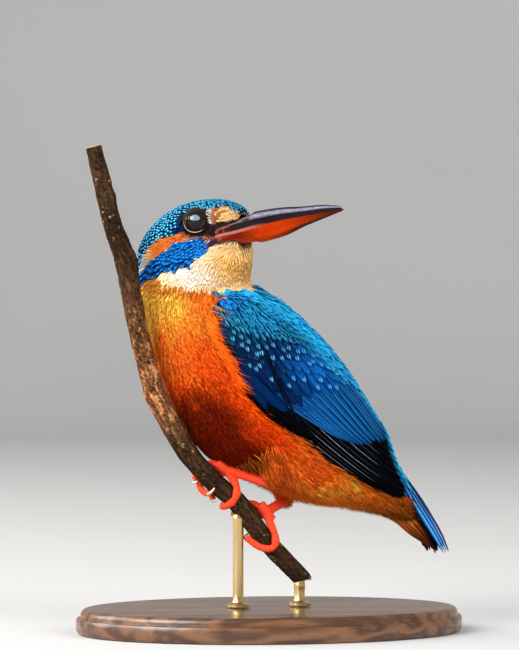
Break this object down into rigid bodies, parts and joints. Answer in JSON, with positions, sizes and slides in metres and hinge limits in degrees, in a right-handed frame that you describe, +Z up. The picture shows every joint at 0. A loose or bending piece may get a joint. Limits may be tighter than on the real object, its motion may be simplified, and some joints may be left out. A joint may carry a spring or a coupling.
{
  "type": "kingfisher",
  "caption": "Life-size still kingfisher, head turned back over its shoulder, gripping a short cut twig on a flat oval display base with slim rods.",
  "frame": {"origin": "middle of the underside of the display base, on the surface that the model stands on", "axes": "+Z up; +X towards the bird's tail, along the base's length; -Y towards the bird's left side"},
  "size_m": [0.108, 0.074, 0.1344],
  "materials": {
    "blue_feathers": "glossy deep blue to turquoise feathers with pale blue spots on the crown and wing coverts",
    "orange_feathers": "soft orange-chestnut feathers, yellower at the top of the breast and the vent",
    "throat_feathers": "soft white to cream feathers, with blue and orange bands at the sides",
    "eye": "polished near-black brown",
    "upper_bill": "satin blackish horn with a pale tip",
    "lower_bill": "satin orange-red horn, darker towards the tip",
    "foot_skin": "coral-red scaly skin",
    "claw": "pale horn",
    "bark": "rough grey-brown bark with pale flecks",
    "base_wood": "dark polished walnut",
    "rod_brass": "brushed brass"
  },
  "bodies": {
    "root": {"head": "blue_feathers", "neck": "throat_feathers", "trunk": "orange_feathers", "tail": "blue_feathers", "wing_left": "blue_feathers", "wing_right": "blue_feathers", "thigh_left": "orange_feathers", "thigh_right": "orange_feathers", "eye_left": "eye", "eye_right": "eye", "bill_upper": "upper_bill", "bill_lower": "lower_bill", "leg_left": "foot_skin", "leg_right": "foot_skin", "toe_left_1": "foot_skin", "toe_left_2": "foot_skin", "toe_left_3": "foot_skin", "toe_left_4": "foot_skin", "toe_right_1": "foot_skin", "toe_right_2": "foot_skin", "toe_right_3": "foot_skin", "toe_right_4": "foot_skin", "claw_left_1": "claw", "claw_left_2": "claw", "claw_left_3": "claw", "claw_left_4": "claw", "claw_right_1": "claw", "claw_right_2": "claw", "claw_right_3": "claw", "claw_right_4": "claw", "perch": "bark", "stand_base": "base_wood", "stand_rod_front": "rod_brass", "stand_rod_rear": "rod_brass"}
  },
  "joints": []
}
